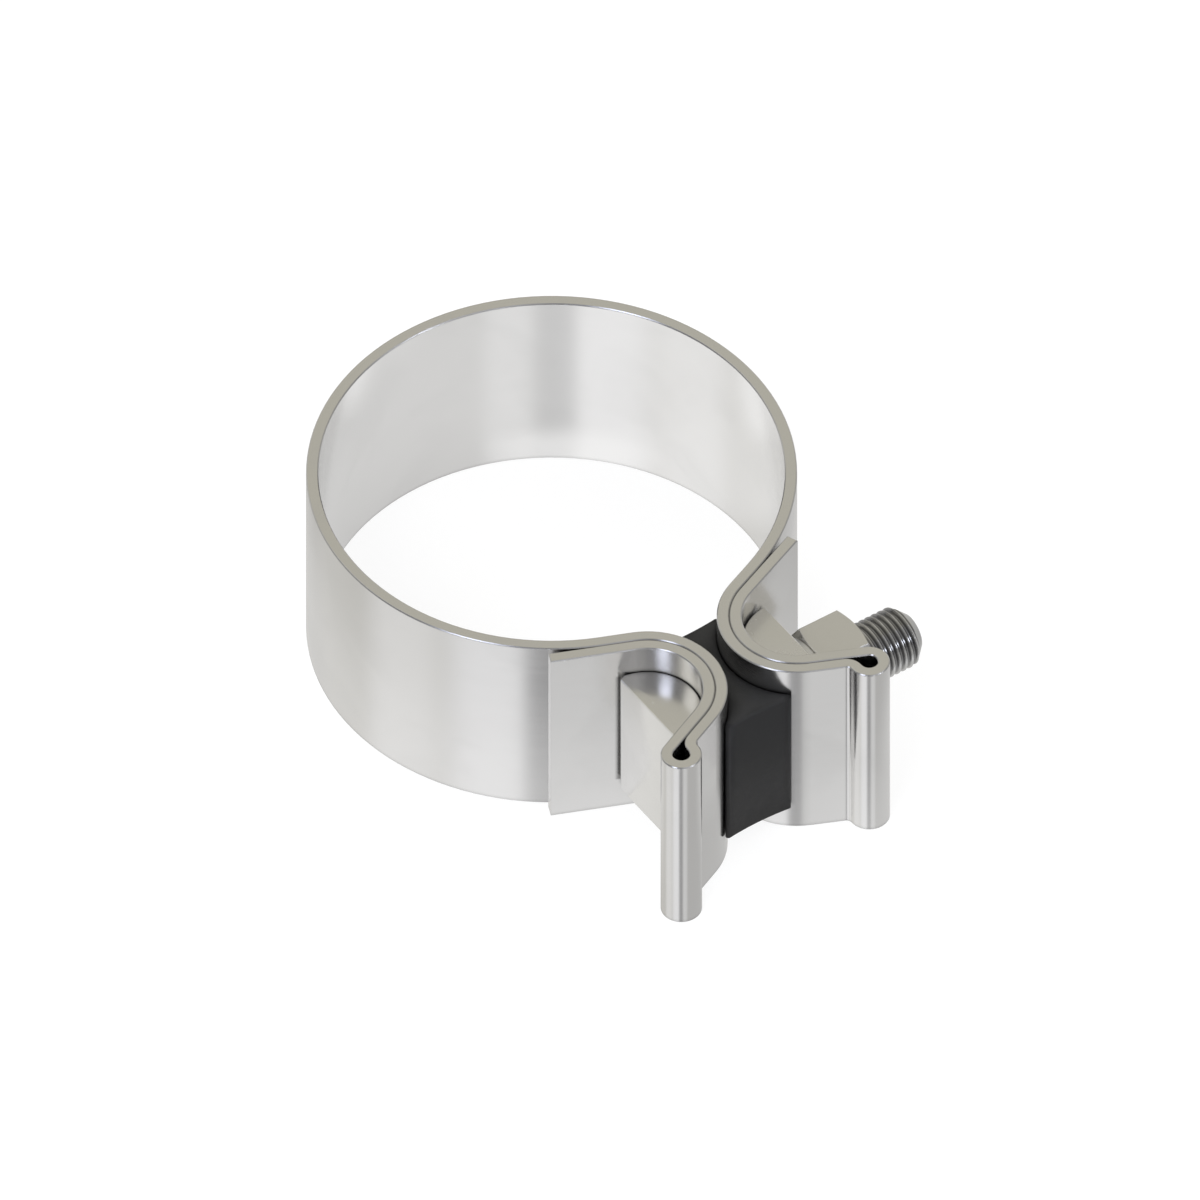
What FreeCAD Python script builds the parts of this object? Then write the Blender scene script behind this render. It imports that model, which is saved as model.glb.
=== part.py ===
import FreeCAD, Part
import math
import os

# Exhaust band clamp: one folded steel strip round two lapped pipes, drawn shut by a T-bolt.
# The origin is on the pipe's axis, half-way along the strip's width. +Z runs along the pipe,
# +X along the bolt towards its nut, and the gap between the two lugs lies at -Y.
# All lengths are in millimetres and all angles in degrees.

# Strip and ring
STRIP_WIDTH = 38.1
STRIP_THICKNESS = 2.1
STRIP_EDGE_CHAMFER = 0.2
RING_INNER_DIAMETER = 79.9

# Folded lugs, given for the left one, which the right one mirrors
LUG_GAP = 3.5
RING_TO_LUG_STRAIGHT = 5.8
LEAF_SEAM_GAP = 0.06
TAIL_PAST_RING = 9.2
LOWER_LEAF_SLOPE = 24.3
FOLD_REACH = 10.3
FOLD_HOLE_RADIUS = 1.45
FOLD_NECK_RADIUS = 1.1
LUG_BOLT_HOLE_DIAMETER = 12.7

# Half-round bars in the lugs: the bolt's own head and the bar under its nut
BAR_RADIUS = 9.35
BAR_SEAT_CLEARANCE = 0.1
BAR_FLAT_INSET = 0.3
BAR_HEIGHT = 26.9
BAR_CORNER_ROUND = 0.3
BAR_EDGE_CHAMFER = 0.3
BAR_HOLE_CLEARANCE = 0.2

# Bolt
BOLT_DIAMETER = 11.1
BOLT_TOWARDS_RING = 0.8
BOLT_ROOT_IN_HEAD = 3.0
BOLT_PAST_NUT = 11.2
BOLT_TIP_CHAMFER = 2.2

# Washer and nut
WASHER_DIAMETER = 16.8
WASHER_THICKNESS = 3.6
WASHER_EDGE_CHAMFER = 0.3
NUT_ACROSS_FLATS = 16.5
NUT_HEIGHT = 9.8
NUT_CHAMFER_ANGLE = 30.0
NUT_CHAMFER_CIRCLE = 15.7
NUT_BORE_CLEARANCE = 0.05

# Spacer that keeps the lugs' backs apart
SPACER_DEPTH = 23.3
SPACER_PAST_BARS = 0.25
SPACER_SIDE_CLEARANCE = 0.1
SPACER_END_HOLLOW = 0.6
SPACER_CORNER_ROUND = 0.5
SPACER_EDGE_CHAMFER = 0.4
SPACER_HOLE_CLEARANCE = 0.4

# Sizes that follow from those above
RING_INNER_RADIUS = RING_INNER_DIAMETER / 2
RING_MIDDLE_RADIUS = RING_INNER_RADIUS + STRIP_THICKNESS / 2
INNER_LEAF_RADIUS = BAR_RADIUS + BAR_SEAT_CLEARANCE
OUTER_LEAF_RADIUS = INNER_LEAF_RADIUS + STRIP_THICKNESS + LEAF_SEAM_GAP
LUG_BACK_RADIUS = OUTER_LEAF_RADIUS + STRIP_THICKNESS
LUG_CENTRE_X = LUG_GAP / 2 + LUG_BACK_RADIUS
LUG_CENTRE_DISTANCE = math.hypot(RING_INNER_RADIUS + LUG_BACK_RADIUS, RING_TO_LUG_STRAIGHT)
LUG_CENTRE_Y = -math.sqrt(LUG_CENTRE_DISTANCE ** 2 - LUG_CENTRE_X ** 2)
UPPER_LEAF_SLOPE = math.degrees(
    math.asin(LUG_CENTRE_X / LUG_CENTRE_DISTANCE)
    + math.asin(RING_TO_LUG_STRAIGHT / LUG_CENTRE_DISTANCE)
)
SPACER_HEIGHT = BAR_HEIGHT + 2 * SPACER_PAST_BARS
BAR_FLAT_X = LUG_CENTRE_X - BAR_FLAT_INSET
BOLT_Y = LUG_CENTRE_Y + BOLT_TOWARDS_RING
WASHER_FACE_X = BAR_FLAT_X
NUT_FACE_X = WASHER_FACE_X + WASHER_THICKNESS
NUT_END_X = NUT_FACE_X + NUT_HEIGHT
BOLT_END_X = NUT_END_X + BOLT_PAST_NUT

ALONG_BOLT = FreeCAD.Vector(1, 0, 0)
UP = FreeCAD.Vector(0, 0, 1)

# Edges are picked by their place to within this distance
PICKING_TOLERANCE = 0.001


def direction(angle):
    """Unit vector in the XY plane at an angle from +X."""
    return FreeCAD.Vector(math.cos(math.radians(angle)), math.sin(math.radians(angle)), 0)


def arc_edge(centre, radius, first_angle, last_angle):
    """Circular edge in the XY plane between two angles, either of which may be the larger."""
    points = [
        centre + direction(angle) * radius
        for angle in (first_angle, (first_angle + last_angle) / 2, last_angle)
    ]
    return Part.Arc(*points).toShape()


def line_edge(first, last):
    """Straight edge between two points."""
    return Part.LineSegment(first, last).toShape()


def bent_strip_section(start, heading, moves, thickness):
    """Face of a strip's edge, which follows straights and bends one after the other.

    Each move is ("straight", length) or ("bend", middle radius, turn). The turn is in degrees
    and positive to the left. Start and heading give the middle of the strip's first end.
    """
    half = thickness / 2
    point = start
    left_edges = []
    right_edges = []
    left_start = point + direction(heading + 90) * half
    right_start = point - direction(heading + 90) * half
    for move in moves:
        side = direction(heading + 90)
        if move[0] == "straight":
            end = point + direction(heading) * move[1]
            left_edges.append(line_edge(point + side * half, end + side * half))
            right_edges.append(line_edge(point - side * half, end - side * half))
            point = end
        else:
            radius = move[1]
            turn = move[2]
            sign = math.copysign(1, turn)
            centre = point + side * (sign * radius)
            first = heading - sign * 90
            last = first + turn
            left_edges.append(arc_edge(centre, radius - sign * half, first, last))
            right_edges.append(arc_edge(centre, radius + sign * half, first, last))
            heading = heading + turn
            point = centre + direction(last) * radius
    left_end = point + direction(heading + 90) * half
    right_end = point - direction(heading + 90) * half
    caps = [line_edge(left_start, right_start), line_edge(left_end, right_end)]
    return Part.Face(Part.Wire(Part.__sortEdges__(left_edges + right_edges + caps)))


def upright(face, height):
    """Solid made by raising a face in the XY plane by a height, centred on that plane."""
    return face.translated(FreeCAD.Vector(0, 0, -height / 2)).extrude(UP * height)


def edges_at_height(shape, height):
    """Edges that lie wholly at one level."""
    return [
        edge
        for edge in shape.Edges
        if abs(edge.BoundBox.ZMin - height) < PICKING_TOLERANCE
        and abs(edge.BoundBox.ZMax - height) < PICKING_TOLERANCE
    ]


def rim_edges(shape, height):
    """Edges round the top and the foot of a solid centred on the XY plane."""
    return edges_at_height(shape, height / 2) + edges_at_height(shape, -height / 2)


def edges_through(shape, points):
    """Upright edges that pass through any of the given points of the XY plane."""
    chosen = []
    for edge in shape.Edges:
        box = edge.BoundBox
        is_upright = max(box.XLength, box.YLength) < PICKING_TOLERANCE
        here = FreeCAD.Vector(box.Center.x, box.Center.y, 0)
        if is_upright and any(here.distanceToPoint(p) < PICKING_TOLERANCE for p in points):
            chosen.append(edge)
    return chosen


def bolt_cylinder(radius, first_x, last_x):
    """Round solid on the bolt's axis between two places along it."""
    base = FreeCAD.Vector(first_x, BOLT_Y, 0)
    return Part.makeCylinder(radius, last_x - first_x, base, ALONG_BOLT)


def turned_on_bolt(outline):
    """Solid of revolution about the bolt's axis, from (place along it, radius) points."""
    points = [FreeCAD.Vector(x, BOLT_Y + radius, 0) for x, radius in outline]
    face = Part.Face(Part.makePolygon(points + points[:1]))
    return face.revolve(FreeCAD.Vector(0, BOLT_Y, 0), ALONG_BOLT, 360)


def make_band():
    """Folded strip: the ring, and a doubled lug at each end with a teardrop fold at its lip."""
    neck_seam_radius = FOLD_NECK_RADIUS + STRIP_THICKNESS
    centres_apart = neck_seam_radius + FOLD_HOLE_RADIUS
    centres_rise = neck_seam_radius - FOLD_HOLE_RADIUS + LEAF_SEAM_GAP
    neck_turn = math.degrees(math.acos(centres_rise / centres_apart))
    neck_length = math.sqrt(centres_apart ** 2 - centres_rise ** 2)
    half_strip = STRIP_THICKNESS / 2
    lug_turn = 180 - UPPER_LEAF_SLOPE - LOWER_LEAF_SLOPE
    moves = [
        ("bend", RING_MIDDLE_RADIUS, 180 - UPPER_LEAF_SLOPE),
        ("straight", RING_TO_LUG_STRAIGHT),
        ("bend", LUG_BACK_RADIUS - half_strip, -lug_turn),
        ("straight", FOLD_REACH - neck_length),
        ("bend", FOLD_NECK_RADIUS + half_strip, neck_turn),
        ("bend", FOLD_HOLE_RADIUS + half_strip, -180 - neck_turn),
        ("straight", FOLD_REACH),
        ("bend", INNER_LEAF_RADIUS + half_strip, lug_turn),
        ("straight", RING_TO_LUG_STRAIGHT + TAIL_PAST_RING),
    ]
    back_of_ring = FreeCAD.Vector(0, RING_MIDDLE_RADIUS, 0)
    section = bent_strip_section(back_of_ring, 180, moves, STRIP_THICKNESS)
    left_half = upright(section, STRIP_WIDTH)
    right_half = left_half.mirror(FreeCAD.Vector(0, 0, 0), ALONG_BOLT)
    band = left_half.fuse(right_half).removeSplitter()
    band = band.makeChamfer(STRIP_EDGE_CHAMFER, rim_edges(band, STRIP_WIDTH))
    hole_radius = LUG_BOLT_HOLE_DIAMETER / 2
    return band.cut(bolt_cylinder(hole_radius, -BAR_FLAT_X, BAR_FLAT_X))


def make_half_round_bar(side):
    """Half-round bar in a lug, its round side to the gap. Side is -1 for left and 1 for right."""
    centre = FreeCAD.Vector(side * LUG_CENTRE_X, LUG_CENTRE_Y, 0)
    half_flat = math.sqrt(BAR_RADIUS ** 2 - BAR_FLAT_INSET ** 2)
    corners = [FreeCAD.Vector(side * BAR_FLAT_X, LUG_CENTRE_Y + s * half_flat, 0) for s in (-1, 1)]
    nearest_gap = centre - ALONG_BOLT * (side * BAR_RADIUS)
    outline = [
        Part.Arc(corners[0], nearest_gap, corners[1]).toShape(),
        line_edge(corners[1], corners[0]),
    ]
    bar = upright(Part.Face(Part.Wire(outline)), BAR_HEIGHT)
    bar = bar.makeFillet(BAR_CORNER_ROUND, edges_through(bar, corners))
    return bar.makeChamfer(BAR_EDGE_CHAMFER, rim_edges(bar, BAR_HEIGHT))


def make_t_bolt():
    """T-bolt: a half-round head across the left lug and a shank that runs past the nut."""
    radius = BOLT_DIAMETER / 2
    tip_start = BOLT_END_X - BOLT_TIP_CHAMFER
    shank = turned_on_bolt([
        (BOLT_ROOT_IN_HEAD - BAR_FLAT_X, 0),
        (BOLT_ROOT_IN_HEAD - BAR_FLAT_X, radius),
        (tip_start, radius),
        (BOLT_END_X, radius - BOLT_TIP_CHAMFER),
        (BOLT_END_X, 0),
    ])
    return make_half_round_bar(-1).fuse(shank).removeSplitter()


def make_saddle_bar():
    """Half-round bar in the right lug, bored through for the bolt."""
    hole_radius = BOLT_DIAMETER / 2 + BAR_HOLE_CLEARANCE
    return make_half_round_bar(1).cut(bolt_cylinder(hole_radius, 0, NUT_FACE_X))


def make_spacer():
    """Spacer between the lugs: a block hollowed on both sides to the lugs' round backs."""
    half_depth = SPACER_DEPTH / 2
    side_radius = LUG_BACK_RADIUS + SPACER_SIDE_CLEARANCE
    half_length = LUG_CENTRE_X - math.sqrt(side_radius ** 2 - half_depth ** 2)
    corners = [
        FreeCAD.Vector(sx * half_length, LUG_CENTRE_Y + sy * half_depth, 0)
        for sx, sy in ((-1, -1), (1, -1), (1, 1), (-1, 1))
    ]
    middles = [
        FreeCAD.Vector(0, LUG_CENTRE_Y - half_depth + SPACER_END_HOLLOW, 0),
        FreeCAD.Vector(LUG_CENTRE_X - side_radius, LUG_CENTRE_Y, 0),
        FreeCAD.Vector(0, LUG_CENTRE_Y + half_depth - SPACER_END_HOLLOW, 0),
        FreeCAD.Vector(side_radius - LUG_CENTRE_X, LUG_CENTRE_Y, 0),
    ]
    outline = [
        Part.Arc(corners[i], middles[i], corners[(i + 1) % 4]).toShape() for i in range(4)
    ]
    spacer = upright(Part.Face(Part.Wire(outline)), SPACER_HEIGHT)
    spacer = spacer.makeFillet(SPACER_CORNER_ROUND, edges_through(spacer, corners))
    spacer = spacer.makeChamfer(SPACER_EDGE_CHAMFER, rim_edges(spacer, SPACER_HEIGHT))
    hole_radius = BOLT_DIAMETER / 2 + SPACER_HOLE_CLEARANCE
    return spacer.cut(bolt_cylinder(hole_radius, -half_length, half_length))


def make_washer():
    """Thick round washer between the bar and the nut, with a chamfer on each outer rim."""
    outer = WASHER_DIAMETER / 2
    inner = BOLT_DIAMETER / 2 + NUT_BORE_CLEARANCE
    return turned_on_bolt([
        (WASHER_FACE_X, inner),
        (WASHER_FACE_X, outer - WASHER_EDGE_CHAMFER),
        (WASHER_FACE_X + WASHER_EDGE_CHAMFER, outer),
        (NUT_FACE_X - WASHER_EDGE_CHAMFER, outer),
        (NUT_FACE_X, outer - WASHER_EDGE_CHAMFER),
        (NUT_FACE_X, inner),
    ])


def make_nut():
    """Hexagon nut, one flat facing up, with a cone turned on both faces."""
    corner_radius = NUT_ACROSS_FLATS / math.sqrt(3)
    corners = [
        FreeCAD.Vector(
            NUT_FACE_X,
            BOLT_Y + corner_radius * math.cos(math.radians(60 * i)),
            corner_radius * math.sin(math.radians(60 * i)),
        )
        for i in range(6)
    ]
    prism = Part.Face(Part.makePolygon(corners + corners[:1])).extrude(ALONG_BOLT * NUT_HEIGHT)
    cone_radius = NUT_CHAMFER_CIRCLE / 2
    cone_depth = (corner_radius - cone_radius) * math.tan(math.radians(NUT_CHAMFER_ANGLE))
    inner = BOLT_DIAMETER / 2 + NUT_BORE_CLEARANCE
    blank = turned_on_bolt([
        (NUT_FACE_X, inner),
        (NUT_FACE_X, cone_radius),
        (NUT_FACE_X + cone_depth, corner_radius),
        (NUT_END_X - cone_depth, corner_radius),
        (NUT_END_X, cone_radius),
        (NUT_END_X, inner),
    ])
    return blank.common(prism)


def only_solid(shape):
    """The shape's single solid, so that each file holds exactly one."""
    assert len(shape.Solids) == 1
    return shape.Solids[0]


MAKERS = {
    "band": make_band,
    "t_bolt": make_t_bolt,
    "saddle_bar": make_saddle_bar,
    "lug_spacer": make_spacer,
    "thick_washer": make_washer,
    "hex_nut": make_nut,
}

os.makedirs("parts", exist_ok=True)
for node, make in MAKERS.items():
    only_solid(make()).exportStep("parts/" + node + ".step")
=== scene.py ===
"""Looks of a wide exhaust band clamp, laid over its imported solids.

The solids give the shapes of the folded strip, the saddle bar, the washer and the nut, which only
get finishes here. A threaded T-bolt and a spacer with finer rims stand for their plain solids.
The studio is a pale floor, soft light and the camera at the photograph's angle. All lengths are
metres in the frame of the solids: +Z runs along the pipe and +X along the bolt.
"""

from __future__ import annotations

import logging
import math
from dataclasses import dataclass
from enum import Enum

import bmesh
import bpy
import numpy as np
from mathutils import Matrix, Vector

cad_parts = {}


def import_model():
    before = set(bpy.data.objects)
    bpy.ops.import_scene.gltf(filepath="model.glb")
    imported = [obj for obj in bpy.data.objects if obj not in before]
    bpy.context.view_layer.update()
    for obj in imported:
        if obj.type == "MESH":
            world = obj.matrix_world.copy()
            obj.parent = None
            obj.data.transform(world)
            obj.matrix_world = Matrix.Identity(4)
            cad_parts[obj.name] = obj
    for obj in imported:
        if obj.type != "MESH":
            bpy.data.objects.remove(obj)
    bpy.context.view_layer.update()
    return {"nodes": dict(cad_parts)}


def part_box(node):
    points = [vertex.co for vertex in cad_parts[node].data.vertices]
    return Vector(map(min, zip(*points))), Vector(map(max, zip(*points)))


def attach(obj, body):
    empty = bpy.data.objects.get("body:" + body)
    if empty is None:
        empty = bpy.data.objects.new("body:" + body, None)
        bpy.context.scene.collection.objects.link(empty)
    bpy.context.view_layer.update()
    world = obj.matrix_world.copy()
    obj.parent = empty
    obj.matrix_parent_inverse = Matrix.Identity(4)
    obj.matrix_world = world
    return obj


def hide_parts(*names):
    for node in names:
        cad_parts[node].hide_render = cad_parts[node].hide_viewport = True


LOG = logging.getLogger("band_clamp")
MM = 0.001
ROOT_DEPTH = "root_depth"

Colour = tuple[float, float, float]
Point = tuple[float, float, float]
Stop = tuple[float, float]

UP: Point = (0.0, 0.0, 1.0)
SMOOTH_ANGLE = math.radians(34.0)
LEVEL_TOLERANCE = 0.01 * MM
# Points closer than the first are joined, and edges shorter than the second dropped
JOIN_WITHIN = 1e-6
DROP_WITHIN = 1e-7


def towards(azimuth: float, elevation: float) -> Point:
    """Unit vector from the object outwards: (sin a cos e, -cos a cos e, sin e).

    Args:
        azimuth: degrees a round the pipe's axis, where 0 looks along +Y.
        elevation: degrees e above the floor.

    Returns:
        The vector.
    """
    a, e = math.radians(azimuth), math.radians(elevation)
    return (math.sin(a) * math.cos(e), -math.cos(a) * math.cos(e), math.sin(e))


class Grain(Enum):
    """Way in which a finish's fine lines run, as how finely each axis is divided, per metre."""

    ALONG_STRIP = (60.0, 60.0, 5200.0)
    DRAWN_UPRIGHT = (3600.0, 3600.0, 120.0)
    TURNED_ON_BOLT = (5200.0, 260.0, 260.0)
    MOULDED = (2600.0, 2600.0, 2600.0)


class Canvas:
    """Short way to lay and join nodes in one node tree."""

    def __init__(self, tree: bpy.types.NodeTree) -> None:
        """Keep the tree that takes the nodes."""
        self.tree = tree

    def add(
        self, kind: str, inputs: dict[str | int, object] | None = None, **settings: object
    ) -> bpy.types.Node:
        """Lay one node.

        Args:
            kind: class name of the node.
            inputs: what feeds its inputs, by their names or numbers.
            **settings: the node's own attributes.

        Returns:
            The new node.
        """
        node = self.tree.nodes.new(kind)
        for name, value in settings.items():
            setattr(node, name, value)
        for name, value in (inputs or {}).items():
            self.put(node.inputs[name], value)
        return node

    def put(self, socket: bpy.types.NodeSocket, value: object) -> None:
        """Feed an input from another node's output, or set its own value.

        Args:
            socket: input that is fed.
            value: output socket, or a number, colour or vector.
        """
        if isinstance(value, bpy.types.NodeSocket):
            self.tree.links.new(value, socket)
        else:
            socket.default_value = value

    def math(self, operation: str, first: object, second: object = 0.0) -> bpy.types.NodeSocket:
        """Work out one sum on two numbers or outputs."""
        return self.add("ShaderNodeMath", {0: first, 1: second}, operation=operation).outputs[0]

    def spread(self, value: object, lows: Stop, highs: Stop) -> bpy.types.NodeSocket:
        """Map a number smoothly from one range to another, held within it.

        Args:
            value: number or output.
            lows: where the first range starts, and what it becomes there.
            highs: where the first range ends, and what it becomes there.

        Returns:
            The mapped output.
        """
        node = self.add("ShaderNodeMapRange", {"Value": value}, interpolation_type="SMOOTHSTEP")
        for end, stop in (("Min", lows), ("Max", highs)):
            self.put(node.inputs[f"From {end}"], stop[0])
            self.put(node.inputs[f"To {end}"], stop[1])
        return node.outputs["Result"]

    def blend(self, factor: object, first: object, second: object) -> bpy.types.NodeSocket:
        """Mix two colours.

        Args:
            factor: share of the second colour.
            first: colour or output at 0.
            second: colour or output at 1.

        Returns:
            The mixed colour.
        """
        node = self.add("ShaderNodeMix", {"Factor": factor}, data_type="RGBA")
        for name, value in (("A", first), ("B", second)):
            socket = next(s for s in node.inputs if s.name == name and s.type == "RGBA")
            self.put(socket, (*value, 1.0) if isinstance(value, tuple) else value)
        return next(s for s in node.outputs if s.type == "RGBA")

    def compare(self, operation: str, first: object, second: object) -> bpy.types.NodeSocket:
        """Work out one number from two vectors or outputs."""
        vectors = {0: first, 1: second}
        return self.add("ShaderNodeVectorMath", vectors, operation=operation).outputs["Value"]

    def group(self, tree: bpy.types.NodeTree, **inputs: object) -> bpy.types.Node:
        """Lay a node group and feed its inputs by their names."""
        return self.add("ShaderNodeGroup", inputs, node_tree=tree)


class ShaderGroups:
    """Effects that several finishes share, each built once as a node group."""

    # How coarse the broad lines are against the fine ones, and the least roughness they leave
    BROAD_GRAIN = 0.23
    SMOOTHEST = 0.04
    # Smears to the metre, and how steeply the painted shade in gaps and the painted shadow lines
    # beside the bars darken
    CLOUD_SCALE = 65.0
    CREVICE_SHADE_POWER = 1.3
    SEAT_SHADOW_POWER = 1.4
    # The right bar's corner at the strip, and the middle height of the painted shadow lines beside
    # the bars
    SEAT_CORNER: Point = (14.9 * MM, -42.35 * MM, 0.0)
    SEAT_MIDDLE = 0.3 * MM
    # How wear and painted edge light show as a corner turns, and smears as they thicken
    EDGE_WEAR_AND_LIGHT = ((0.01, 0.0), (0.12, 1.0))
    SMEAR = ((0.42, 0.0), (0.68, 1.0))
    # How the painted shadow lines beside the bars fade with the distance from the corner and with
    # the height
    SEAT_SHADOW_REACH = ((0.3 * MM, 1.0), (1.1 * MM, 0.0))
    SEAT_SHADOW_HEIGHT = ((12.4 * MM, 1.0), (12.9 * MM, 0.0))

    def __init__(self) -> None:
        """Build every group."""
        self.grain = self._fine_grain()
        self.edges = self._edge_wear_and_light()
        self.handling = self._handling_marks()
        self.painted_crevice_shade = self._painted_crevice_shade()
        self.seat_shadows = self._bar_seat_shadow()

    @staticmethod
    def _start(
        name: str, inputs: tuple[str, ...], outputs: tuple[str, ...]
    ) -> tuple[Canvas, bpy.types.Node, bpy.types.Node]:
        """Make an empty group with its sockets. Vector and Normal are vectors, others numbers.

        Args:
            name: name of the group.
            inputs: names of the inputs.
            outputs: names of the outputs.

        Returns:
            Canvas on the group's tree, and its input and output nodes.
        """
        tree = bpy.data.node_groups.new(name, "ShaderNodeTree")
        for way, labels in (("INPUT", inputs), ("OUTPUT", outputs)):
            for label in labels:
                kind = "Vector" if label in ("Vector", "Normal") else "Float"
                tree.interface.new_socket(label, in_out=way, socket_type=f"NodeSocket{kind}")
        canvas = Canvas(tree)
        return canvas, canvas.add("NodeGroupInput"), canvas.add("NodeGroupOutput")

    def _fine_grain(self) -> bpy.types.NodeTree:
        """Fine lines of a rolled, drawn or turned surface, or the pores of a moulded one.

        Returns:
            Group that puts out the lines' height and the roughness that they give.
        """
        canvas, given, out = self._start(
            "fine_grain", ("Vector", "Roughness", "Spread"), ("Height", "Roughness")
        )
        lines = {"Vector": given.outputs["Vector"], "Detail": 3.0, "Roughness": 0.6}
        fine, broad = (
            canvas.add("ShaderNodeTexNoise", {**lines, "Scale": scale}).outputs["Fac"]
            for scale in (1.0, self.BROAD_GRAIN)
        )
        height = canvas.math("MULTIPLY", canvas.math("ADD", fine, broad), 0.5)
        centred = canvas.math("SUBTRACT", height, 0.5)
        shift = canvas.math("MULTIPLY", centred, given.outputs["Spread"])
        rough = canvas.math("ADD", given.outputs["Roughness"], canvas.math("MULTIPLY", shift, 4.0))
        canvas.put(out.inputs["Height"], height)
        canvas.put(out.inputs["Roughness"], canvas.math("MAXIMUM", rough, self.SMOOTHEST))
        return canvas.tree

    def _edge_wear_and_light(self) -> bpy.types.NodeTree:
        """Softly rounded corners, and a mask of them for the edge colour: polished wear, with
        painted shade on the strip and a painted highlight on the spacer.

        Returns:
            Group that puts out the rounded normal and the mask.
        """
        canvas, given, out = self._start("edge_wear_and_light", ("Radius", "Amount"), ("Normal", "Mask"))
        rounded = canvas.add("ShaderNodeBevel", {"Radius": given.outputs["Radius"]}, samples=4)
        normal = rounded.outputs["Normal"]
        plain = canvas.add("ShaderNodeNewGeometry").outputs["Normal"]
        turned = canvas.math("SUBTRACT", 1.0, canvas.compare("DOT_PRODUCT", normal, plain))
        mask = canvas.spread(turned, *self.EDGE_WEAR_AND_LIGHT)
        canvas.put(out.inputs["Normal"], normal)
        canvas.put(out.inputs["Mask"], canvas.math("MULTIPLY", mask, given.outputs["Amount"]))
        return canvas.tree

    def _handling_marks(self) -> bpy.types.NodeTree:
        """Broad, faint smears and dulling from handling.

        Returns:
            Group that puts out a mask between 0 and 1.
        """
        canvas, given, out = self._start("handling_marks", ("Vector", "Amount"), ("Mask",))
        cloud = canvas.add(
            "ShaderNodeTexNoise",
            {
                "Vector": given.outputs["Vector"],
                "Scale": self.CLOUD_SCALE,
                "Detail": 4.0,
                "Distortion": 0.6,
            },
        )
        mask = canvas.spread(cloud.outputs["Fac"], *self.SMEAR)
        canvas.put(out.inputs["Mask"], canvas.math("MULTIPLY", mask, given.outputs["Amount"]))
        return canvas.tree

    def _painted_crevice_shade(self) -> bpy.types.NodeTree:
        """Mask of the painted shade in narrow gaps and thread roots, where little light falls.

        Returns:
            Group that puts out a mask between 0 and 1.
        """
        canvas, given, out = self._start("painted_crevice_shade", ("Reach", "Amount"), ("Mask",))
        openness = canvas.add(
            "ShaderNodeAmbientOcclusion", {"Distance": given.outputs["Reach"]}, samples=4
        )
        closed = canvas.math("SUBTRACT", 1.0, openness.outputs["AO"])
        mask = canvas.math("POWER", closed, self.CREVICE_SHADE_POWER)
        canvas.put(out.inputs["Mask"], canvas.math("MULTIPLY", mask, given.outputs["Amount"]))
        return canvas.tree

    def _bar_seat_shadow(self) -> bpy.types.NodeTree:
        """Mask of the painted shadow: dark upright lines where the bars' corners meet the strip.

        Both bars stand alike on either side, so the mask is the distance from (|x|, y) to one
        corner, over most of the bars' height only.

        Returns:
            Group that puts out a mask between 0 and 1.
        """
        canvas, given, out = self._start("bar_seat_shadow", ("Vector", "Amount"), ("Mask",))
        apart = canvas.add("ShaderNodeSeparateXYZ", {0: given.outputs["Vector"]}).outputs
        mirrored = canvas.add(
            "ShaderNodeCombineXYZ", {"X": canvas.math("ABSOLUTE", apart["X"]), "Y": apart["Y"]}
        )
        gap = canvas.compare("DISTANCE", mirrored.outputs[0], self.SEAT_CORNER)
        near = canvas.spread(gap, *self.SEAT_SHADOW_REACH)
        height = canvas.math("ABSOLUTE", canvas.math("SUBTRACT", apart["Z"], self.SEAT_MIDDLE))
        beside = canvas.spread(height, *self.SEAT_SHADOW_HEIGHT)
        mask = canvas.math("MULTIPLY", canvas.math("POWER", near, self.SEAT_SHADOW_POWER), beside)
        canvas.put(out.inputs["Mask"], canvas.math("MULTIPLY", mask, given.outputs["Amount"]))
        return canvas.tree


def clear_canvas(block: bpy.types.Material | bpy.types.World) -> Canvas:
    """Start the nodes of a material or world from nothing.

    Args:
        block: the material or world.

    Returns:
        Canvas on its tree.
    """
    block.use_nodes = True
    block.node_tree.nodes.clear()
    return Canvas(block.node_tree)


# How dark the finish's own colour gets under handling marks, and under the painted shade in gaps
# and the painted shadow beside the bars
MARKED_SHARE = 0.93
CREVICE_SHADE_SHARE = 0.17
SEAT_SHADOW_SHARE = 0.06
# Width of the gaps that get painted shade, and roughness that handling marks add
CREVICE_SHADE_REACH = 1.0 * MM
SMEAR_ROUGHNESS = 0.05
# From how far up a face looks along the pipe, and how the thread's painted shade deepens down to
# its root
END_FACING = ((0.9, 0.0), (0.98, 1.0))
ROOT_SHADE = ((0.1, 0.0), (0.75, 0.66))


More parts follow.
